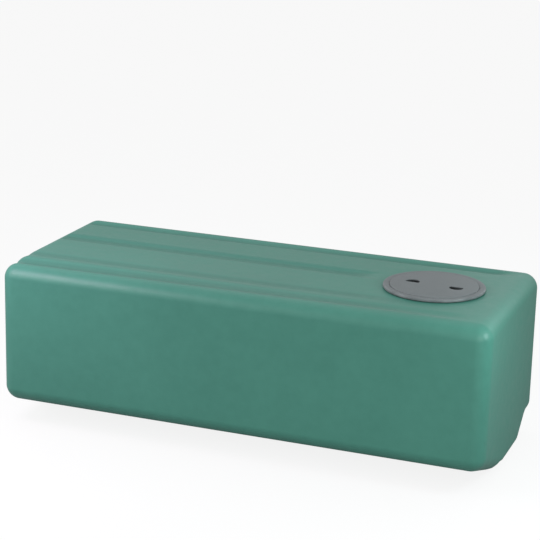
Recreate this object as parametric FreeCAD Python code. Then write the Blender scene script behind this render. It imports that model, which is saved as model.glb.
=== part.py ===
import FreeCAD, Part
import math
import os

# Moulded plastic water tank with a screw-in inspection hatch.
# Millimetres. +X runs along the tank, +Y to its back, +Z up.
# The origin is under the middle of the tank, on the surface it stands on.

# Tank body
tank_length = 1000.0
tank_width = 416.0
deck_height = 336.0         # top face of the deck above the floor
wall = 6.0
edge_radius = 30.0          # all outer edges of the moulding

# Underside: it slopes down from the front edge to a keel, and steps up to a shoulder at the back
front_edge_height = 56.0    # where the front face and the slope would meet
keel_from_front = 162.0     # keel's front corner behind the front face
keel_from_back = 112.0      # keel's back corner before the back face
back_shoulder = 54.0        # width of the shoulder before the back face
back_shoulder_height = 41.0
keel_radius = 26.0
keel_groove_offset = 160.0  # groove's middle behind the front face
keel_groove_width = 65.0
keel_groove_depth = 24.0

# Lengthwise grooves in the deck; only the front one is open at the left end
front_groove_offset = 48.0  # groove's middle behind the front face
front_groove_width = 52.0
front_groove_depth = 6.5    # at the left end; it rises to nothing at its tip
front_groove_stop = 48.0    # groove's tip before the right end
middle_groove_offset = 36.0  # groove's middle behind the tank's middle
middle_groove_width = 46.0
middle_groove_depth = 5.0
middle_groove_gap = 30.0    # groove's tip before the hatch's flange
middle_groove_fade = 40.0   # length over which its bottom rises to the deck
back_groove_offset = 48.0   # groove's middle before the back face
back_groove_width = 34.0
back_groove_depth = 5.0
back_groove_stop = 38.0     # groove's tip before the right end
back_groove_fade = 40.0
groove_run_in = 30.0        # length over which the level grooves sink at the left end
groove_overrun = 20.0       # cutting tools start this far outside an end

# Where the moulding is divided into floor, walls, top and ends
seam_margin = 8.0           # flat wall left beyond a rounded edge

# Inspection hatch, its radii from the neck's bore outwards
hatch_from_end = 164.0      # hatch's axis before the right end
neck_bore_radius = 76.0
neck_wall = 6.0
neck_depth = 24.0           # below the flange's underside
hole_clearance = 1.0        # deck hole around the neck
flange_width = 17.5         # flange beyond the neck's outside
flange_thickness = 5.0
flange_chamfer = 2.0
gasket_thickness = 1.5
gasket_inset = 2.0          # gasket's edge behind the flange's edge
seat_width = 11.5           # ledge for the lid beyond the neck's bore
seat_depth = 3.5            # ledge below the flange's top

# Lid and its seal
lid_clearance = 0.5         # lid's edge inside the ledge's edge
lid_proud = 1.0             # lid's top above the flange's top
lid_chamfer = 1.5
plug_clearance = 0.8        # lid's skirt inside the neck's bore
plug_wall = 4.0
plug_depth = 20.0           # skirt below the ledge
seal_thickness = 1.5
seal_margin = 1.0           # seal's edges inside the ledge's edges

# Finger pockets in the lid: discs with one side cut off straight
pocket_radius = 14.0
pocket_flat = 5.0           # straight side beyond the disc's middle
pocket_gap = 10.0            # pocket's cup inside the lid's skirt
pocket_depth = 12.0
pocket_wall = 2.5
pocket_turn = -4.0          # degrees, line of the two pockets from +X


def left_x():
    return -0.5 * tank_length


def right_x():
    return 0.5 * tank_length


def front_y():
    return -0.5 * tank_width


def back_y():
    return 0.5 * tank_width


def hatch_x():
    return right_x() - hatch_from_end


def neck_radius():
    return neck_bore_radius + neck_wall


def hole_radius():
    return neck_radius() + hole_clearance


def flange_radius():
    return neck_radius() + flange_width


def seat_radius():
    return neck_bore_radius + seat_width


def lid_radius():
    return seat_radius() - lid_clearance


def seat_height():
    """Ledge for the lid, above the deck."""
    return gasket_thickness + flange_thickness - seat_depth


def unit(a, b):
    size = math.hypot(a, b)
    return a / size, b / size


def inset_corners(corners, inset):
    """Move each side of a counter-clockwise polygon inwards, and adjust its corner radii."""
    moved = []
    count = len(corners)
    for i in range(count):
        y0, z0, _ = corners[i - 1]
        y1, z1, radius = corners[i]
        y2, z2, _ = corners[(i + 1) % count]
        in_y, in_z = unit(y1 - y0, z1 - z0)
        out_y, out_z = unit(y2 - y1, z2 - z1)
        turn = in_y * out_z - in_z * out_y
        half_cos = 1.0 + in_y * out_y + in_z * out_z
        shift_y = -(in_z + out_z) * inset / half_cos
        shift_z = (in_y + out_y) * inset / half_cos
        new_radius = radius - inset if turn > 0 else radius + inset
        moved.append((y1 + shift_y, z1 + shift_z, new_radius))
    return moved


def rounded_wire(corners, x):
    """Closed wire across the tank at x, of straight sides and tangent arcs."""
    arcs = []
    count = len(corners)
    for i in range(count):
        y0, z0, _ = corners[i - 1]
        y1, z1, radius = corners[i]
        y2, z2, _ = corners[(i + 1) % count]
        in_y, in_z = unit(y1 - y0, z1 - z0)
        out_y, out_z = unit(y2 - y1, z2 - z1)
        half_turn = 0.5 * math.acos(max(-1.0, min(1.0, in_y * out_y + in_z * out_z)))
        reach = radius * math.tan(half_turn)
        sag = radius / math.cos(half_turn) - radius
        mid_y, mid_z = unit(out_y - in_y, out_z - in_z)
        start = FreeCAD.Vector(x, y1 - in_y * reach, z1 - in_z * reach)
        middle = FreeCAD.Vector(x, y1 + mid_y * sag, z1 + mid_z * sag)
        end = FreeCAD.Vector(x, y1 + out_y * reach, z1 + out_z * reach)
        arcs.append((start, middle, end))
    edges = []
    for i in range(count):
        start, middle, end = arcs[i]
        following = arcs[(i + 1) % count][0]
        edges.append(Part.Arc(start, middle, end).toShape())
        if end.distanceToPoint(following) > 1e-6:
            edges.append(Part.LineSegment(end, following).toShape())
    return Part.Wire(edges)


def section_corners():
    """Cross-section of the tank as (y, z, corner radius), counter-clockwise."""
    return [
        (front_y(), front_edge_height, edge_radius),
        (front_y() + keel_from_front, 0.0, keel_radius),
        (back_y() - keel_from_back, 0.0, keel_radius),
        (back_y() - back_shoulder, back_shoulder_height, keel_radius),
        (back_y(), back_shoulder_height, edge_radius),
        (back_y(), deck_height, edge_radius),
        (front_y(), deck_height, edge_radius),
    ]


def section_prism(inset):
    """The cross-section drawn out along the tank, with its end edges still sharp."""
    start = left_x() + inset
    wire = rounded_wire(inset_corners(section_corners(), inset), start)
    return Part.Face(wire).extrude(FreeCAD.Vector(-2.0 * start, 0, 0))


def end_edges(prism):
    return [edge for edge in prism.Edges if edge.BoundBox.XLength < 1e-6]


def groove_radius(width, depth):
    return (0.25 * width * width + depth * depth) / (2.0 * depth)


def groove_bar(y, z, radius, x0, x1):
    """Round bar along the tank; z is the height of its underside."""
    return Part.makeCylinder(radius, x1 - x0, FreeCAD.Vector(x0, y, z + radius), FreeCAD.Vector(1, 0, 0))


def rising_bar(y, z, radius, x0, rise, run):
    """Round bar that starts at x0 with its underside at z, and climbs by rise over the run."""
    along = FreeCAD.Vector(run, 0, rise)
    start = FreeCAD.Vector(x0, y, z + radius)
    return Part.makeCylinder(radius, 1.5 * along.Length, start, along)


def front_groove(grow):
    """Tool for the front groove, which is deepest at the left end."""
    tip = right_x() - front_groove_stop
    start = left_x() - groove_overrun
    radius = groove_radius(front_groove_width, front_groove_depth) + grow
    rise = front_groove_depth * (tip - start) / tank_length
    bottom = deck_height - rise - grow
    return rising_bar(front_y() + front_groove_offset, bottom, radius, start, rise, tip - start)


def level_groove(y, width, depth, tip, fade, grow):
    """Tool for a groove of one depth, whose two ends climb out of the deck."""
    start = left_x() + groove_run_in
    bend = tip - fade
    radius = groove_radius(width, depth) + grow
    bottom = deck_height - depth - grow
    joints = [Part.makeSphere(radius, FreeCAD.Vector(x, y, bottom + radius)) for x in (start, bend)]
    left = rising_bar(y, bottom, radius, start, depth, -groove_run_in)
    right = rising_bar(y, bottom, radius, bend, depth, fade)
    return groove_bar(y, bottom, radius, start, bend).fuse(joints + [left, right])


def middle_groove(grow):
    tip = hatch_x() - flange_radius() - middle_groove_gap
    return level_groove(middle_groove_offset, middle_groove_width, middle_groove_depth, tip,
                        middle_groove_fade, grow)


def back_groove(grow):
    tip = right_x() - back_groove_stop
    return level_groove(back_y() - back_groove_offset, back_groove_width, back_groove_depth, tip,
                        back_groove_fade, grow)


def keel_groove(grow):
    """Tool for the groove along the whole underside, in front of the keel."""
    y = front_y() + keel_groove_offset
    radius = groove_radius(keel_groove_width, keel_groove_depth) + grow
    start = left_x() - groove_overrun
    return groove_bar(y, keel_groove_depth + grow - 2.0 * radius, radius, start, -start)


def groove_tools(grow):
    return [front_groove(grow), middle_groove(grow), back_groove(grow), keel_groove(grow)]


def cut_all(form, tools):
    for tool in tools:
        form = form.cut(tool)
    return form


def outer_form():
    prism = section_prism(0.0)
    form = prism.makeFillet(edge_radius, end_edges(prism))
    return cut_all(form, groove_tools(0.0))


def inner_form():
    """Inside of the moulding; its end edges are bevelled to keep the wall even."""
    prism = section_prism(wall)
    bevel = (2.0 - math.sqrt(2.0)) * (edge_radius - wall)
    form = prism.makeChamfer(bevel, end_edges(prism))
    return cut_all(form, groove_tools(wall))


def at_hatch(shape):
    return shape.translate(FreeCAD.Vector(hatch_x(), 0, deck_height))


def turned(points):
    """Solid of revolution about the hatch's axis from (radius, height above the deck) points."""
    corners = [FreeCAD.Vector(r, 0, z) for r, z in points]
    face = Part.Face(Part.makePolygon(corners + corners[:1]))
    return at_hatch(face.revolve(FreeCAD.Vector(0, 0, 0), FreeCAD.Vector(0, 0, 1), 360))


def deck_hole():
    reach = 2.0 * wall
    return at_hatch(Part.makeCylinder(hole_radius(), 2.0 * reach, FreeCAD.Vector(0, 0, -reach)))


def moulding():
    """Hollow one-piece moulding with the hole for the hatch."""
    return outer_form().cut(inner_form()).cut(deck_hole())


def block(x0, x1, y0, y1, z0, z1):
    return Part.makeBox(x1 - x0, y1 - y0, z1 - z0, FreeCAD.Vector(x0, y0, z0))


def divide(whole):
    """Floor, walls, ends and top of the shell, which meet face to face at flat seams."""
    band = edge_radius + seam_margin
    x_far = tank_length
    y_far = tank_width
    x_seam = right_x() - band
    low_seam = front_edge_height + band
    high_seam = deck_height - band
    top = deck_height + band
    spaces = {
        "floor_pan": block(-x_far, x_far, -y_far, y_far, -band, low_seam),
        "front_wall": block(-x_seam, x_seam, -y_far, 0.0, low_seam, high_seam),
        "back_wall": block(-x_seam, x_seam, 0.0, y_far, low_seam, high_seam),
        "left_end": block(-x_far, -x_seam, -y_far, y_far, low_seam, high_seam),
        "right_end": block(x_seam, x_far, -y_far, y_far, low_seam, high_seam),
        "tank_top": block(-x_far, x_far, -y_far, y_far, high_seam, top),
    }
    return {name: whole.common(space) for name, space in spaces.items()}


def flat_ring(inner, outer, base, thickness):
    top = base + thickness
    return turned([(inner, base), (outer, base), (outer, top), (inner, top)])


def hatch_gasket():
    return flat_ring(hole_radius(), flange_radius() - gasket_inset, 0.0, gasket_thickness)


def hatch_ring():
    """Flange on the deck, with a ledge for the lid and a neck down into the tank."""
    base = gasket_thickness
    top = base + flange_thickness
    return turned([
        (neck_bore_radius, base - neck_depth),
        (neck_radius(), base - neck_depth),
        (neck_radius(), base),
        (flange_radius(), base),
        (flange_radius(), top - flange_chamfer),
        (flange_radius() - flange_chamfer, top),
        (seat_radius(), top),
        (seat_radius(), seat_height()),
        (neck_bore_radius, seat_height()),
    ])


def lid_seal():
    inner = neck_bore_radius + seal_margin
    return flat_ring(inner, lid_radius() - seal_margin, seat_height(), seal_thickness)


def skirt_inner():
    return neck_bore_radius - plug_clearance - plug_wall


def pocket_prism(grow, base, height, angle):
    """Finger pocket, or with grow the outside of its cup, turned to its place."""
    radius = pocket_radius + grow
    flat = pocket_flat + grow
    x = skirt_inner() - pocket_gap - pocket_wall - pocket_radius
    half = math.sqrt(radius * radius - flat * flat)
    start = FreeCAD.Vector(x - half, flat, base)
    end = FreeCAD.Vector(x + half, flat, base)
    arc = Part.Arc(start, FreeCAD.Vector(x, -radius, base), end).toShape()
    side = Part.LineSegment(end, start).toShape()
    prism = Part.Face(Part.Wire([arc, side])).extrude(FreeCAD.Vector(0, 0, height))
    prism.rotate(FreeCAD.Vector(0, 0, 0), FreeCAD.Vector(0, 0, 1), angle)
    return at_hatch(prism)


def hatch_lid():
    """Screw-in lid: disc with a skirt, and two finger pockets that are closed below."""
    base = seat_height() + seal_thickness
    top = gasket_thickness + flange_thickness + lid_proud
    skirt_outer = skirt_inner() + plug_wall
    skirt_end = seat_height() - plug_depth
    lid = turned([
        (0.0, base),
        (skirt_inner(), base),
        (skirt_inner(), skirt_end),
        (skirt_outer, skirt_end),
        (skirt_outer, base),
        (lid_radius(), base),
        (lid_radius(), top - lid_chamfer),
        (lid_radius() - lid_chamfer, top),
        (0.0, top),
    ])
    floor = top - pocket_depth
    under = floor - pocket_wall
    for angle in (pocket_turn, pocket_turn + 180.0):
        cup = pocket_prism(pocket_wall, under, base - under, angle)
        pocket = pocket_prism(0.0, floor, 2.0 * pocket_depth, angle)
        lid = lid.fuse(cup).cut(pocket)
    return lid.removeSplitter()


def build():
    nodes = divide(moulding())
    nodes["hatch_gasket"] = hatch_gasket()
    nodes["hatch_ring"] = hatch_ring()
    nodes["lid_seal"] = lid_seal()
    nodes["hatch_lid"] = hatch_lid()
    return nodes


os.makedirs("parts", exist_ok=True)
for name, shape in build().items():
    solid = shape.Solids[0]
    print(name, "solids", len(shape.Solids), "valid", shape.isValid(), "cm3", round(solid.Volume / 1000.0, 1))
    solid.exportStep("parts/" + name + ".step")
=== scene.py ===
"""Looks of the moulded water tank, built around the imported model."""

import math

import bmesh
import bpy
from mathutils import Matrix, Vector


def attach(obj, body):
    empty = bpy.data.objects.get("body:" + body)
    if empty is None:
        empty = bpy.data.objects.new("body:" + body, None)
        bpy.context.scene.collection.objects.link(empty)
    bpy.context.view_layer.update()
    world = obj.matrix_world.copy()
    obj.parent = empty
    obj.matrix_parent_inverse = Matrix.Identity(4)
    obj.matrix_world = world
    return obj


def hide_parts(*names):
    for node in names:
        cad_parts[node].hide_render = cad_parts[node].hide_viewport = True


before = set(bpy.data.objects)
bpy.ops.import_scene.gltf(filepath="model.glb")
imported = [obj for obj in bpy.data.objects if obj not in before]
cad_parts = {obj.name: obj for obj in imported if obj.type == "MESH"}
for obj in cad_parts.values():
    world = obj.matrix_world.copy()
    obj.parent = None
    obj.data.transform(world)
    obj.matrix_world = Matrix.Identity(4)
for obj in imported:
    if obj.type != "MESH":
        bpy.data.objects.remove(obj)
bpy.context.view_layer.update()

# the moulding, in metres
TANK_LENGTH = 1.000
TANK_WIDTH = 0.416
DECK_HEIGHT = 0.336
WALL = 0.006
EDGE_RADIUS = 0.030
FRONT_EDGE = 0.056
KEEL_FRONT = -0.046
KEEL_BACK = 0.096
BACK_SHOULDER = 0.154
SHOULDER_HEIGHT = 0.041
KEEL_GROOVE = -0.048
KEEL_BAR_RADIUS = 0.034
KEEL_BAR_AXIS = -0.010
KEEL_LIP_INNER = 0.025
KEEL_LIP_OUTER = 0.043
LEFT = -TANK_LENGTH / 2
RIGHT = TANK_LENGTH / 2
FRONT = -TANK_WIDTH / 2
BACK = TANK_WIDTH / 2

# the deck's grooves, pressed in this order:
# front line, back line, depth, width of the soft sides, start, tip, length of the rise, passes
PAST_END = 2 * LEFT
RUN_IN = LEFT + EDGE_RADIUS - 0.001
DECK_GROOVES = (
    (-0.186, -0.176, 0.0030, 0.042, PAST_END, 0.30, 0.75, 24),
    (-0.162, -0.156, 0.0032, 0.024, PAST_END, 0.44, 0.90, 24),
    (-0.162, -0.156, 0.0020, 0.020, PAST_END, 0.44, 0.03, 4),
    (-0.116, -0.108, 0.0018, 0.022, PAST_END, 0.36, 0.40, 12),
    (0.022, 0.050, 0.0050, 0.013, RUN_IN, 0.205, 0.045, 6),
    (0.154, 0.164, 0.0050, 0.015, RUN_IN, 0.455, 0.040, 6),
)

# the shade painted into them as a darker colour: front line, back line, start, tip, length of the
# fading
GROOVE_SHADE_LINES = (
    (-0.168, -0.150, LEFT, 0.20, 0.25),
    (-0.116, -0.102, LEFT, 0.20, 0.20),
    (0.020, 0.056, LEFT + 0.036, 0.175, 0.03),
    (0.150, 0.168, LEFT + 0.036, 0.425, 0.03),
)
GROOVE_SHADE_EDGE = 0.008

# the hatch
HATCH_X = 0.336
HOLE_RADIUS = 0.083
FLANGE_RADIUS = 0.0995
NECK_RADIUS = 0.082
BORE_RADIUS = 0.076
SEAT_RADIUS = 0.0875
LID_RADIUS = 0.087
SKIRT_OUTER = 0.0752
SKIRT_INNER = 0.0712
GASKET_TOP = DECK_HEIGHT + 0.0015
SEAT_TOP = DECK_HEIGHT + 0.003
LID_UNDER = DECK_HEIGHT + 0.0045
FLANGE_TOP = DECK_HEIGHT + 0.0065
LID_TOP = DECK_HEIGHT + 0.0075
NECK_END = DECK_HEIGHT - 0.0225
SKIRT_END = DECK_HEIGHT - 0.017
POCKET_REACH = 0.0447
POCKET_RADIUS = 0.014
POCKET_FLAT = 0.005
POCKET_WALL = 0.0025
POCKET_FLOOR = LID_TOP - 0.012
POCKET_TURN = math.radians(-4.0)
POCKET_ANGLES = (POCKET_TURN, POCKET_TURN + math.pi)
THREAD_TURNS = 2.5
THREAD_PITCH = 0.005
THREAD_RADIUS = 0.0010
THREAD_STEPS = 240
ROUND = 128

# edges sharper than this stay crisp
SMOOTH_ANGLE = math.radians(35)

# strength of the light from all round, and the share of white that a sheen shows
ROOM_LIGHT = 0.60
IN_SHEEN = 0.05
WHITE = (1.0, 1.0, 1.0, 1.0)


def start_piece(name, add, **values):
    """Adds a primitive at its size and place, alone in the selection, and opens it for editing."""
    bpy.ops.object.select_all(action="DESELECT")
    add(**values)
    piece = bpy.context.object
    piece.name = name
    bpy.ops.object.transform_apply(location=True, rotation=True, scale=True)
    bpy.ops.object.mode_set(mode="EDIT")
    return piece


def pick(kind, wanted):
    """Selects the vertices, edges or faces of the open mesh that are wanted."""
    bpy.ops.mesh.select_mode(type=kind)
    bpy.ops.mesh.select_all(action="DESELECT")
    mesh = bpy.context.object.data
    shape = bmesh.from_edit_mesh(mesh)
    parts = {"VERT": shape.verts, "EDGE": shape.edges, "FACE": shape.faces}[kind]
    for part in parts:
        if wanted(part):
            part.select_set(True)
    bmesh.update_edit_mesh(mesh)


def face_outwards():
    """Turns all faces of the open mesh outwards."""
    bpy.ops.mesh.select_all(action="SELECT")
    bpy.ops.mesh.normals_make_consistent(inside=False)


def close_piece():
    """Ends editing and gives the piece back."""
    bpy.ops.object.mode_set(mode="OBJECT")
    return bpy.context.object


def alone(piece):
    """Makes a piece the only one selected."""
    bpy.ops.object.select_all(action="DESELECT")
    piece.select_set(True)
    bpy.context.view_layer.objects.active = piece


def finish_with(piece, kind, **settings):
    """Adds a modifier to a closed piece and applies it."""
    alone(piece)
    modifier = piece.modifiers.new("finish", kind)
    for name, value in settings.items():
        setattr(modifier, name, value)
    bpy.ops.object.modifier_apply(modifier=modifier.name)


def near(a, b, slack=0.0002):
    """Are two lengths the same but for a slack?"""
    return abs(a - b) < slack


def runs_along(edge, axis):
    """Is an edge parallel to an axis?"""
    step = edge.verts[1].co - edge.verts[0].co
    return abs(step[axis]) > 0.999 * step.length


def reach_across(edge):
    """How far an edge goes from front to back."""
    return abs(edge.verts[0].co.y - edge.verts[1].co.y)


def round_long_edge(y, z, turn, segments):
    """Rounds the edge along the tank at y and z, which turns by an angle in degrees."""
    pick("EDGE", lambda e: runs_along(e, 0)
         and near(e.verts[0].co.y, y) and near(e.verts[0].co.z, z))
    reach = EDGE_RADIUS * math.tan(math.radians(turn) / 2)
    bpy.ops.mesh.bevel(offset=reach, segments=segments, affect="EDGES", clamp_overlap=False)


def press(line, depth, width):
    """Presses the vertices of a line up or down, and those around it by less."""
    pick("VERT", line)
    bpy.ops.transform.translate(
        value=(0, 0, depth),
        use_proportional_edit=True,
        proportional_edit_falloff="SMOOTH",
        proportional_size=width,
    )


def on_deck(v, low, high):
    """Is a vertex on the deck or the rounding down to an end, between two lines along the tank?"""
    return low - 0.0001 < v.co.y < high + 0.0001 and v.co.z > DECK_HEIGHT - EDGE_RADIUS - 0.012


def deck_groove(low, high, depth, width, start, tip, fade, passes):
    """Presses a groove into the deck from its start to its tip, rising towards the tip."""
    for step in range(passes):
        end = tip - fade * step / passes
        press(lambda v: on_deck(v, low, high) and start < v.co.x < end, -depth / passes, width)


def prism_blank():
    """The tank's cross-section drawn out along its length, with sharp edges."""
    start_piece(
        "tank_moulding",
        bpy.ops.mesh.primitive_cube_add,
        size=1.0,
        location=(0, 0, DECK_HEIGHT / 2),
        scale=(TANK_LENGTH, TANK_WIDTH, DECK_HEIGHT),
    )
    for y in (KEEL_FRONT, KEEL_BACK, BACK_SHOULDER):
        bpy.ops.mesh.select_all(action="SELECT")
        bpy.ops.mesh.bisect(plane_co=(0, y, 0), plane_no=(0, 1, 0))
    pick("VERT", lambda v: near(v.co.z, 0) and near(v.co.y, FRONT))
    bpy.ops.transform.translate(value=(0, 0, FRONT_EDGE))
    pick("VERT", lambda v: near(v.co.z, 0) and v.co.y > BACK_SHOULDER - 0.001)
    bpy.ops.transform.translate(value=(0, 0, SHOULDER_HEIGHT))
    bpy.ops.mesh.select_all(action="SELECT")
    bpy.ops.mesh.dissolve_limited(angle_limit=math.radians(0.5))


def round_edges():
    """Rounds the long edges, then the edges around both ends."""
    slope = math.degrees(math.atan2(FRONT_EDGE, KEEL_FRONT - FRONT))
    rise = math.degrees(math.atan2(SHOULDER_HEIGHT, BACK_SHOULDER - KEEL_BACK))
    round_long_edge(FRONT, DECK_HEIGHT, 90, 14)
    round_long_edge(BACK, DECK_HEIGHT, 90, 14)
    round_long_edge(BACK, SHOULDER_HEIGHT, 90, 14)
    round_long_edge(FRONT, FRONT_EDGE, 90 - slope, 12)
    round_long_edge(KEEL_FRONT, 0, slope, 4)
    round_long_edge(KEEL_BACK, 0, rise, 6)
    round_long_edge(BACK_SHOULDER, SHOULDER_HEIGHT, rise, 6)
    pick("EDGE", lambda e: near(abs(e.verts[0].co.x), RIGHT) and near(abs(e.verts[1].co.x), RIGHT)
         and near(e.verts[0].co.x, e.verts[1].co.x))
    bpy.ops.mesh.bevel(offset=EDGE_RADIUS, segments=14, affect="EDGES", clamp_overlap=False)
    bpy.ops.mesh.select_all(action="SELECT")
    bpy.ops.mesh.remove_doubles(threshold=0.0001)
    pick("VERT", lambda v: near(abs(v.co.x), RIGHT))
    bpy.ops.mesh.remove_doubles(threshold=0.002)


def divide_skin():
    """Divides the skin finely enough to press grooves into its deck and keel."""
    step = 0.020
    deck_cuts = 100
    keel_cuts = 40
    flat_length = TANK_LENGTH - 2 * EDGE_RADIUS
    flat_width = TANK_WIDTH - 2 * EDGE_RADIUS
    count = int(round(flat_length / step))
    for i in range(1, count):
        bpy.ops.mesh.select_all(action="SELECT")
        x = LEFT + EDGE_RADIUS + i * flat_length / count
        bpy.ops.mesh.bisect(plane_co=(x, 0, 0), plane_no=(1, 0, 0))
    pick("EDGE", lambda e: reach_across(e) > 0.95 * flat_width
         and e.verts[0].co.z > DECK_HEIGHT / 2)
    bpy.ops.mesh.subdivide(number_cuts=deck_cuts)
    pick("EDGE", lambda e: reach_across(e) > 0.12
         and e.verts[0].co.z < DECK_HEIGHT / 4
         and max(e.verts[0].co.y, e.verts[1].co.y) < KEEL_BACK)
    bpy.ops.mesh.subdivide(number_cuts=keel_cuts)


def under_keel_bar(v):
    """Is a vertex of the underside inside the round bar that shapes the keel's groove?"""
    across = v.co.y - KEEL_GROOVE
    if abs(across) >= KEEL_BAR_RADIUS or v.co.z > EDGE_RADIUS:
        return False
    return v.co.z < KEEL_BAR_AXIS + math.sqrt(KEEL_BAR_RADIUS ** 2 - across ** 2)


def lift_keel_groove(tank):
    """Lifts the underside onto a round bar along the keel, then softens the groove's edges."""
    start_piece(
        "keel_bar",
        bpy.ops.mesh.primitive_cylinder_add,
        vertices=ROUND,
        radius=KEEL_BAR_RADIUS,
        depth=1.2 * TANK_LENGTH,
        location=(0, KEEL_GROOVE, KEEL_BAR_AXIS),
        rotation=(0, math.radians(90), 0),
    )
    bar = close_piece()
    alone(tank)
    bpy.ops.object.mode_set(mode="EDIT")
    pick("VERT", under_keel_bar)
    bpy.ops.object.vertex_group_assign_new()
    close_piece()
    finish_with(
        tank,
        "SHRINKWRAP",
        target=bar,
        wrap_method="PROJECT",
        use_project_z=True,
        use_positive_direction=True,
        use_negative_direction=False,
        vertex_group=tank.vertex_groups.active.name,
    )
    tank.vertex_groups.clear()
    bpy.data.objects.remove(bar)
    bpy.ops.object.mode_set(mode="EDIT")
    pick("VERT", lambda v: KEEL_LIP_INNER < abs(v.co.y - KEEL_GROOVE) < KEEL_LIP_OUTER
         and v.co.z < EDGE_RADIUS)
    bpy.ops.mesh.vertices_smooth(factor=0.5, repeat=3)
    close_piece()


def tank_moulding():
    """The hollow moulding in one piece, with the hole for the hatch."""
    prism_blank()
    round_edges()
    divide_skin()
    for groove in DECK_GROOVES:
        deck_groove(*groove)
    face_outwards()
    tank = close_piece()
    lift_keel_groove(tank)
    finish_with(tank, "SOLIDIFY", thickness=WALL, offset=-1.0, use_even_offset=False)
    start_piece(
        "hole_cutter",
        bpy.ops.mesh.primitive_cylinder_add,
        vertices=ROUND,
        radius=HOLE_RADIUS,
        depth=0.06,
        location=(HATCH_X, 0, DECK_HEIGHT),
    )
    cutter = close_piece()
    finish_with(tank, "BOOLEAN", operation="DIFFERENCE", object=cutter, solver="EXACT")
    bpy.data.objects.remove(cutter)
    alone(tank)
    bpy.ops.object.shade_smooth_by_angle(angle=SMOOTH_ANGLE)
    return tank


def turned_blank(name, radius, low, high):
    """A round blank on the hatch's axis, opened for editing."""
    start_piece(
        name,
        bpy.ops.mesh.primitive_cylinder_add,
        vertices=ROUND,
        radius=radius,
        depth=high - low,
        location=(HATCH_X, 0, (low + high) / 2),
    )


def pick_flat(z, up):
    """Selects the level face of a round blank at height z."""
    sign = 1 if up else -1
    pick("FACE", lambda f: sign * f.normal.z > 0.9
         and near(f.calc_center_median().z, z) and len(f.verts) == ROUND)


def step_in(width, drop):
    """Insets the selected level face, then moves it up or down with walls of its own."""
    bpy.ops.mesh.inset(thickness=width)
    bpy.ops.mesh.extrude_region_move(TRANSFORM_OT_translate={"value": (0, 0, drop)})


def circle_edge(edge, radius, z):
    """Is an edge part of the circle of a radius about the hatch's axis at height z?"""
    for v in edge.verts:
        if not near(v.co.z, z, 0.0001):
            return False
        if not near(math.hypot(v.co.x - HATCH_X, v.co.y), radius, 0.0001):
            return False
    return True


def round_circle(radius, z, width, segments):
    """Rounds the circular edge of a radius and height."""
    pick("EDGE", lambda e: circle_edge(e, radius, z))
    bpy.ops.mesh.bevel(offset=width, segments=segments, affect="EDGES")


def join_circles(circles):
    """Closes the gap between two open circles with a ring of faces."""
    pick("EDGE", lambda e: any(circle_edge(e, radius, z) for radius, z in circles))
    bpy.ops.mesh.bridge_edge_loops()


def soft_ring(name, inner, outer, low, high):
    """A flat rubber ring with rounded edges."""
    rounding = 0.0006
    turned_blank(name, outer, low, high)
    for z, up in ((high, True), (low, False)):
        pick_flat(z, up)
        bpy.ops.mesh.inset(thickness=outer - inner)
        bpy.ops.mesh.delete(type="ONLY_FACE")
    join_circles([(inner, low), (inner, high)])
    for radius in (inner, outer):
        for z in (low, high):
            round_circle(radius, z, rounding, 3)
    face_outwards()
    ring = close_piece()
    bpy.ops.object.shade_smooth_by_angle(angle=SMOOTH_ANGLE)
    return ring


def hatch_ring():
    """The flange on the deck, with a ledge for the lid and a neck down into the tank."""
    turned_blank("hatch_flange", FLANGE_RADIUS, GASKET_TOP, FLANGE_TOP)
    pick_flat(FLANGE_TOP, True)
    step_in(FLANGE_RADIUS - SEAT_RADIUS, SEAT_TOP - FLANGE_TOP)
    step_in(SEAT_RADIUS - BORE_RADIUS, NECK_END - SEAT_TOP)
    bpy.ops.mesh.delete(type="ONLY_FACE")
    pick_flat(GASKET_TOP, False)
    step_in(FLANGE_RADIUS - NECK_RADIUS, NECK_END - GASKET_TOP)
    bpy.ops.mesh.delete(type="ONLY_FACE")
    join_circles([(BORE_RADIUS, NECK_END), (NECK_RADIUS, NECK_END)])
    round_circle(FLANGE_RADIUS, FLANGE_TOP, 0.0020, 5)
    round_circle(FLANGE_RADIUS, GASKET_TOP, 0.0005, 2)
    round_circle(SEAT_RADIUS, FLANGE_TOP, 0.0006, 3)
    round_circle(BORE_RADIUS, SEAT_TOP, 0.0008, 3)
    round_circle(BORE_RADIUS, NECK_END, 0.0010, 3)
    round_circle(NECK_RADIUS, NECK_END, 0.0010, 3)
    face_outwards()
    ring = close_piece()
    bpy.ops.object.shade_smooth_by_angle(angle=SMOOTH_ANGLE)
    return ring


def pocket_centre(angle):
    """Where a finger pocket is, as x and y."""
    return HATCH_X + POCKET_REACH * math.cos(angle), POCKET_REACH * math.sin(angle)


def pocket_blank(name, grow, low, high, angle):
    """The half-moon block of a finger pocket, or with grow the outside of its cup."""
    x, y = pocket_centre(angle)
    side = (-math.sin(angle), math.cos(angle), 0)
    flat = POCKET_FLAT + grow
    start_piece(
        name,
        bpy.ops.mesh.primitive_cylinder_add,
        vertices=48,
        radius=POCKET_RADIUS + grow,
        depth=high - low,
        location=(x, y, (low + high) / 2),
    )
    bpy.ops.mesh.select_all(action="SELECT")
    bpy.ops.mesh.bisect(
        plane_co=(x + flat * side[0], y + flat * side[1], 0),
        plane_no=side,
        use_fill=True,
        clear_outer=True,
    )
    pick("EDGE", lambda e: runs_along(e, 2) and e.calc_face_angle(0) > 0.5)
    bpy.ops.mesh.bevel(offset=0.0025, segments=4, affect="EDGES")
    return close_piece()


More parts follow.
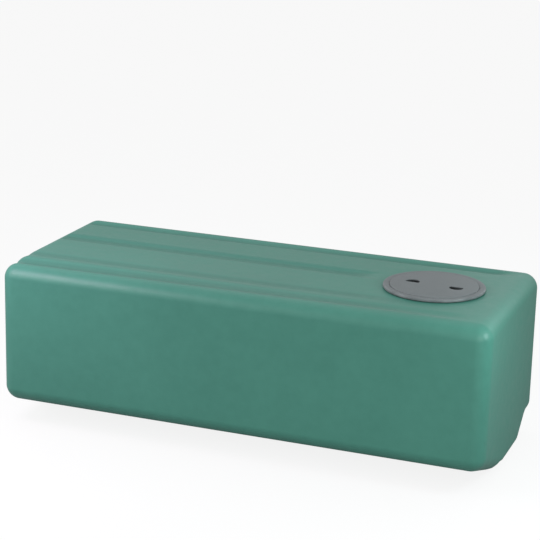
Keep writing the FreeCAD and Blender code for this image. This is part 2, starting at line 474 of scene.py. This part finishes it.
def thread_ridge():
    """The screw thread around the lid's skirt."""
    ridge = start_piece(
        "thread_ridge",
        bpy.ops.mesh.primitive_circle_add,
        vertices=3,
        radius=THREAD_RADIUS,
        location=(HATCH_X + SKIRT_OUTER - THREAD_RADIUS / 2, 0, SKIRT_END + 0.003),
        rotation=(math.radians(90), 0, 0),
    )
    close_piece()
    bpy.context.scene.cursor.location = (HATCH_X, 0, 0)
    bpy.ops.object.origin_set(type="ORIGIN_CURSOR")
    finish_with(
        ridge,
        "SCREW",
        angle=math.radians(360 * THREAD_TURNS),
        screw_offset=THREAD_PITCH * THREAD_TURNS,
        steps=THREAD_STEPS,
        render_steps=THREAD_STEPS,
        use_merge_vertices=False,
    )
    bpy.ops.object.transform_apply(location=True, rotation=True, scale=True)
    bpy.ops.object.mode_set(mode="EDIT")
    bpy.ops.mesh.select_all(action="SELECT")
    bpy.ops.mesh.fill_holes(sides=3)
    face_outwards()
    return close_piece()


def hatch_lid():
    """The screw-in lid: a disc with a threaded skirt and two finger pockets."""
    turned_blank("screw_lid", LID_RADIUS, LID_UNDER, LID_TOP)
    pick_flat(LID_UNDER, False)
    step_in(LID_RADIUS - SKIRT_OUTER, SKIRT_END - LID_UNDER)
    step_in(SKIRT_OUTER - SKIRT_INNER, LID_UNDER - SKIRT_END)
    round_circle(LID_RADIUS, LID_TOP, 0.0010, 4)
    round_circle(LID_RADIUS, LID_UNDER, 0.0005, 2)
    round_circle(SKIRT_OUTER, SKIRT_END, 0.0008, 3)
    round_circle(SKIRT_INNER, SKIRT_END, 0.0008, 3)
    lid = close_piece()
    cup_low = POCKET_FLOOR - POCKET_WALL
    cup_high = LID_UNDER + 0.0005
    for angle in POCKET_ANGLES:
        cup = pocket_blank("cup", POCKET_WALL, cup_low, cup_high, angle)
        finish_with(lid, "BOOLEAN", operation="UNION", object=cup, solver="EXACT")
        bpy.data.objects.remove(cup)
        pocket = pocket_blank("pocket", 0.0, POCKET_FLOOR, LID_TOP + 0.01, angle)
        finish_with(lid, "BOOLEAN", operation="DIFFERENCE", object=pocket, solver="EXACT")
        bpy.data.objects.remove(pocket)
    ridge = thread_ridge()
    alone(lid)
    ridge.select_set(True)
    bpy.ops.object.join()
    bpy.ops.object.shade_smooth_by_angle(angle=SMOOTH_ANGLE)
    return lid


class Socket:
    """An output of a material's node. Arithmetic on it adds Math nodes."""

    def __init__(self, finish, socket):
        self.finish = finish
        self.socket = socket

    def maths(self, operation, first, second):
        return self.finish.node("ShaderNodeMath", {"operation": operation}, {0: first, 1: second})

    def __add__(self, other):
        return self.maths("ADD", self, other)

    def __radd__(self, other):
        return self.maths("ADD", other, self)

    def __sub__(self, other):
        return self.maths("SUBTRACT", self, other)

    def __rsub__(self, other):
        return self.maths("SUBTRACT", other, self)

    def __mul__(self, other):
        return self.maths("MULTIPLY", self, other)

    def __rmul__(self, other):
        return self.maths("MULTIPLY", other, self)


def socket_named(sockets, key):
    """A node's socket by number, identifier or name."""
    if isinstance(key, int):
        return sockets[key]
    for socket in sockets:
        if socket.identifier == key:
            return socket
    return sockets[key]


class Finish:
    """A material of this object and the nodes that make it."""

    def __init__(self, name):
        self.material = bpy.data.materials.new(name)
        self.material.use_nodes = True
        self.tree = self.material.node_tree
        self.shader = self.tree.nodes["Principled BSDF"]
        self.place = self.node("ShaderNodeTexCoord", {}, {}, "Object")

    def node(self, kind, settings, sockets, result=0):
        """Any node: its type, its settings, then the values or links of its sockets."""
        made = self.tree.nodes.new(kind)
        for name, value in settings.items():
            setattr(made, name, value)
        for key, value in sockets.items():
            self.feed(socket_named(made.inputs, key), value)
        return Socket(self, socket_named(made.outputs, result))

    def feed(self, socket, value):
        if isinstance(value, Socket):
            self.tree.links.new(value.socket, socket)
        else:
            socket.default_value = value

    def shade(self, sockets):
        """Values or links for the surface shader."""
        for key, value in sockets.items():
            self.feed(socket_named(self.shader.inputs, key), value)

    def noise(self, scale, detail=2.0, roughness=0.5):
        return self.node(
            "ShaderNodeTexNoise",
            {},
            {"Vector": self.place, "Scale": scale, "Detail": detail, "Roughness": roughness},
            "Fac",
        )

    def between(self, value, low, high):
        """0 below low, 1 above high, smooth between."""
        return self.node(
            "ShaderNodeMapRange",
            {"interpolation_type": "SMOOTHSTEP"},
            {"Value": value, "From Min": low, "From Max": high},
            "Result",
        )

    def mix(self, factor, first, second):
        return self.node(
            "ShaderNodeMix",
            {"data_type": "RGBA"},
            {"Factor_Float": factor, "A_Color": first, "B_Color": second},
            "Result_Color",
        )

    def bump(self, height):
        """A normal from a height in metres."""
        return self.node(
            "ShaderNodeBump", {}, {"Strength": 1.0, "Distance": 1.0, "Height": height}, "Normal"
        )

    def distance_from(self, x, y):
        """Distance from an upright axis."""
        level = self.node(
            "ShaderNodeVectorMath",
            {"operation": "MULTIPLY"},
            {0: self.place, 1: (1.0, 1.0, 0.0)},
            "Vector",
        )
        return self.node(
            "ShaderNodeVectorMath", {"operation": "DISTANCE"}, {0: level, 1: (x, y, 0.0)}, "Value"
        )

    def coordinate(self, axis):
        """The X, Y or Z of a point."""
        return self.node("ShaderNodeSeparateXYZ", {}, {0: self.place}, axis)

    def band(self, value, low, high, soft):
        """1 from low to high, and 0 outside them past a soft edge."""
        return self.between(value, low - soft, low) * (1 - self.between(value, high, high + soft))


def painted_groove_shade(finish):
    """1 along the deck's grooves, where their shade is painted in as a darker colour, and 0
    elsewhere.
    """
    along = finish.coordinate("X")
    across = finish.coordinate("Y")
    shade_mask = 0.0
    for low, high, start, tip, fade in GROOVE_SHADE_LINES:
        line = finish.band(across, low, high, GROOVE_SHADE_EDGE) * finish.band(along, start, tip, fade)
        shade_mask = shade_mask + line
    top = finish.between(finish.coordinate("Z"), DECK_HEIGHT - 0.014, DECK_HEIGHT - 0.010)
    return shade_mask * top


def tank_plastic():
    """Satin blue-green polyethylene: clouds of colour, a fine grain and painted shade in the
    grooves.
    """
    finish = Finish("tank_plastic")
    deep_green = (0.048, 0.191, 0.146, 1.0)
    pale_green = (0.060, 0.227, 0.174, 1.0)
    # the darker green is painted shade along the grooves, not a colour of the plastic
    groove_shade_green = (0.026, 0.110, 0.086, 1.0)
    clouds = finish.noise(3.5, 3.0)
    mottle = finish.noise(60.0, 4.0)
    grain = finish.noise(1400.0, 2.0)
    tone = 0.5 + (clouds - 0.5) * 0.9 + (mottle - 0.5) * 0.5 + (grain - 0.5) * 0.35
    clean = finish.mix(finish.between(tone, 0.1, 0.9), deep_green, pale_green)
    # painted shade: the colour darkens along the grooves to stand in for the shade in them
    shade_mask = painted_groove_shade(finish) * (0.30 + (mottle - 0.5) * 0.3)
    colour = finish.mix(shade_mask, clean, groove_shade_green)
    waves = finish.noise(22.0, 1.0)
    peel = finish.noise(420.0, 2.0)
    relief = waves * 0.0007 + peel * 0.00010 + grain * 0.00002
    finish.shade({
        "Base Color": colour,
        "Roughness": 0.42 + (mottle - 0.5) * 0.16 + (clouds - 0.5) * 0.10,
        "Normal": finish.bump(relief),
        "IOR": 1.51,
        "Specular IOR Level": 0.38,
    })
    return finish.material


def hatch_plastic():
    """Mid-grey moulded plastic, rubbed paler along its rims, with painted shade making the pockets
    near black inside.
    """
    finish = Finish("hatch_plastic")
    dark_grey = (0.114, 0.130, 0.135, 1.0)
    mid_grey = (0.141, 0.158, 0.163, 1.0)
    rubbed_grey = (0.28, 0.30, 0.30, 1.0)
    # near black painted into the pockets as their shade
    pocket_shade_black = (0.006, 0.007, 0.008, 1.0)
    mottle = finish.noise(45.0, 4.0)
    grain = finish.noise(1800.0, 2.0)
    radius = finish.distance_from(HATCH_X, 0.0)
    rubbed = finish.between(radius, 0.0945, 0.0985) * finish.between(mottle, 0.35, 0.7)
    tone = 0.5 + (mottle - 0.5) * 1.2 + (grain - 0.5) * 0.5
    plain = finish.mix(finish.between(tone, 0.1, 0.9), dark_grey, mid_grey)
    paler = finish.mix(rubbed * 0.25, plain, rubbed_grey)
    deep = 1 - finish.between(finish.coordinate("Z"), LID_TOP - 0.0022, LID_TOP - 0.0006)
    inside = 0.0
    for angle in POCKET_ANGLES:
        away = finish.distance_from(*pocket_centre(angle))
        inside = inside + (1 - finish.between(away, POCKET_RADIUS, POCKET_RADIUS + 0.001))
    # painted shade: deep inside the finger pockets the colour goes near black, and rougher
    pocket_shade = deep * inside
    colour = finish.mix(pocket_shade * 0.96, paler, pocket_shade_black)
    finish.shade({
        "Base Color": colour,
        "Roughness": 0.50 + (mottle - 0.5) * 0.18 + pocket_shade * 0.35,
        "Normal": finish.bump(mottle * 0.00006 + grain * 0.00003),
        "IOR": 1.50,
    })
    return finish.material


def seal_rubber():
    """Black rubber with a dusty bloom."""
    finish = Finish("seal_rubber")
    black = (0.014, 0.014, 0.015, 1.0)
    dusty = (0.034, 0.034, 0.035, 1.0)
    bloom = finish.noise(120.0, 4.0)
    grain = finish.noise(2200.0, 2.0)
    finish.shade({
        "Base Color": finish.mix(finish.between(bloom, 0.4, 0.8), black, dusty),
        "Roughness": 0.66 + (bloom - 0.5) * 0.3,
        "Normal": finish.bump(grain * 0.00004),
    })
    return finish.material


def put_on(piece, material):
    """Gives a piece one material."""
    piece.data.materials.clear()
    piece.data.materials.append(material)


def eye_share(tree):
    """1 for what the camera sees straight on or through glass, and a share of it in a sheen."""
    path = tree.nodes.new("ShaderNodeLightPath")
    total = path.outputs["Is Camera Ray"]
    for name, share in (("Is Glossy Ray", IN_SHEEN), ("Is Transmission Ray", 1.0)):
        add = tree.nodes.new("ShaderNodeMath")
        add.operation = "MULTIPLY_ADD"
        tree.links.new(path.outputs[name], add.inputs[0])
        add.inputs[1].default_value = share
        tree.links.new(total, add.inputs[2])
        total = add.outputs[0]
    return total


def white_floor():
    """A plain pale floor that is white to the eye and keeps a soft shadow."""
    finish = Finish("white_floor")
    thrown_back = (0.32, 0.32, 0.32, 1.0)
    pale = (0.90, 0.90, 0.90, 1.0)
    glow_share = 0.86
    seen = Socket(finish, eye_share(finish.tree))
    finish.shade({"Base Color": finish.mix(seen, thrown_back, pale), "Roughness": 0.9})
    glow = finish.node("ShaderNodeEmission", {}, {"Color": WHITE, "Strength": 1.0}, "Emission")
    lit = Socket(finish, finish.shader.outputs["BSDF"])
    glowing = seen * glow_share
    surface = finish.node("ShaderNodeMixShader", {}, {0: glowing, 1: lit, 2: glow}, "Shader")
    finish.feed(finish.tree.nodes["Material Output"].inputs["Surface"], surface)
    bpy.ops.object.select_all(action="DESELECT")
    bpy.ops.mesh.primitive_plane_add(size=14.0, location=(0, 0, -0.0005))
    floor = bpy.context.object
    floor.name = "floor"
    put_on(floor, finish.material)


def pale_room():
    """Even light from all round, and white where the camera sees past the floor."""
    world = bpy.data.worlds.new("pale_room")
    bpy.context.scene.world = world
    world.use_nodes = True
    tree = world.node_tree
    level = tree.nodes.new("ShaderNodeMapRange")
    level.inputs["To Min"].default_value = ROOM_LIGHT
    level.inputs["To Max"].default_value = 1.0
    tree.links.new(eye_share(tree), level.inputs["Value"])
    tree.links.new(level.outputs["Result"], tree.nodes["Background"].inputs["Strength"])
    tree.nodes["Background"].inputs["Color"].default_value = WHITE


def soft_lamp(name, place, aim, size, power, tint=(1.0, 1.0, 1.0)):
    """A soft oblong lamp that points at aim."""
    light = bpy.data.lights.new(name, "AREA")
    light.shape = "RECTANGLE"
    light.size = size[0]
    light.size_y = size[1]
    light.energy = power
    light.color = tint
    lamp = bpy.data.objects.new(name, light)
    bpy.context.collection.objects.link(lamp)
    lamp.location = place
    towards = Vector(aim) - Vector(place)
    lamp.rotation_euler = towards.to_track_quat("-Z", "Y").to_euler()


def studio_light():
    """Soft lamps at the left front and the right, above, and low behind the deck."""
    cool = (0.82, 0.97, 1.0)
    rosy = (1.0, 0.80, 1.0)
    soft_lamp("key", (-1.7, -1.5, 1.1), (-0.35, -0.2, 0.15), (1.2, 1.0), 20)
    soft_lamp("edge", (-0.67, -0.49, 0.70), (-0.42, -0.19, 0.32), (0.45, 0.25), 2.4, rosy)
    soft_lamp("above", (0.2, 0.5, 2.2), (0.1, 0.0, 0.33), (2.0, 1.4), 4.0, cool)
    soft_lamp("strip", (-0.65, 0.52, 1.2), (-0.25, -0.1, 0.33), (1.1, 0.4), 1.1, cool)
    soft_lamp("rake_right", (0.42, 1.5, 0.8), (0.2, 0.0, 0.33), (0.8, 0.4), 0.7, cool)
    soft_lamp("right_corner", (0.84, -0.26, 0.49), (0.49, -0.17, 0.31), (0.18, 0.18), 1.5, cool)
    soft_lamp("right_edge", (0.80, 0.46, 0.56), (0.5, 0.0, 0.33), (0.35, 0.25), 0.3, cool)
    soft_lamp("fill", (1.5, -2.0, 0.9), (0.3, -0.1, 0.25), (0.9, 0.9), 15)


def photo_camera():
    """The camera at the photograph's place and angle."""
    lens = bpy.data.cameras.new("camera")
    lens.lens = 118.577
    lens.sensor_width = 36.0
    lens.sensor_fit = "HORIZONTAL"
    camera = bpy.data.objects.new("camera", lens)
    bpy.context.collection.objects.link(camera)
    camera.matrix_world = Matrix((
        (0.93515, -0.12042, 0.33315, 1.18047),
        (0.35338, 0.25134, -0.90108, -3.20157),
        (0.02477, 0.96038, 0.27760, 1.31628),
        (0.0, 0.0, 0.0, 1.0),
    ))
    bpy.context.scene.camera = camera


def place_pieces():
    """Makes every piece and sets it on its body."""
    plastic = tank_plastic()
    grey = hatch_plastic()
    rubber = seal_rubber()
    tank = tank_moulding()
    gasket = soft_ring("deck_gasket", HOLE_RADIUS, FLANGE_RADIUS - 0.002, DECK_HEIGHT, GASKET_TOP)
    ring = hatch_ring()
    seal = soft_ring("lid_gasket", BORE_RADIUS + 0.001, LID_RADIUS - 0.001, SEAT_TOP, LID_UNDER)
    lid = hatch_lid()
    shell = ("floor_pan", "front_wall", "back_wall", "left_end", "right_end", "tank_top")
    for piece, material, slot, body, nodes in (
        (tank, plastic, "tank_plastic", "tank", shell),
        (gasket, rubber, "seal_rubber", "tank", ("hatch_gasket",)),
        (ring, grey, "hatch_plastic", "tank", ("hatch_ring",)),
        (seal, rubber, "seal_rubber", "seal", ("lid_seal",)),
        (lid, grey, "hatch_plastic", "lid", ("hatch_lid",)),
    ):
        put_on(piece, material)
        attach(piece, body)
        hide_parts(*nodes)


place_pieces()
white_floor()
pale_room()
studio_light()
photo_camera()
bpy.context.scene.view_settings.view_transform = "Standard"
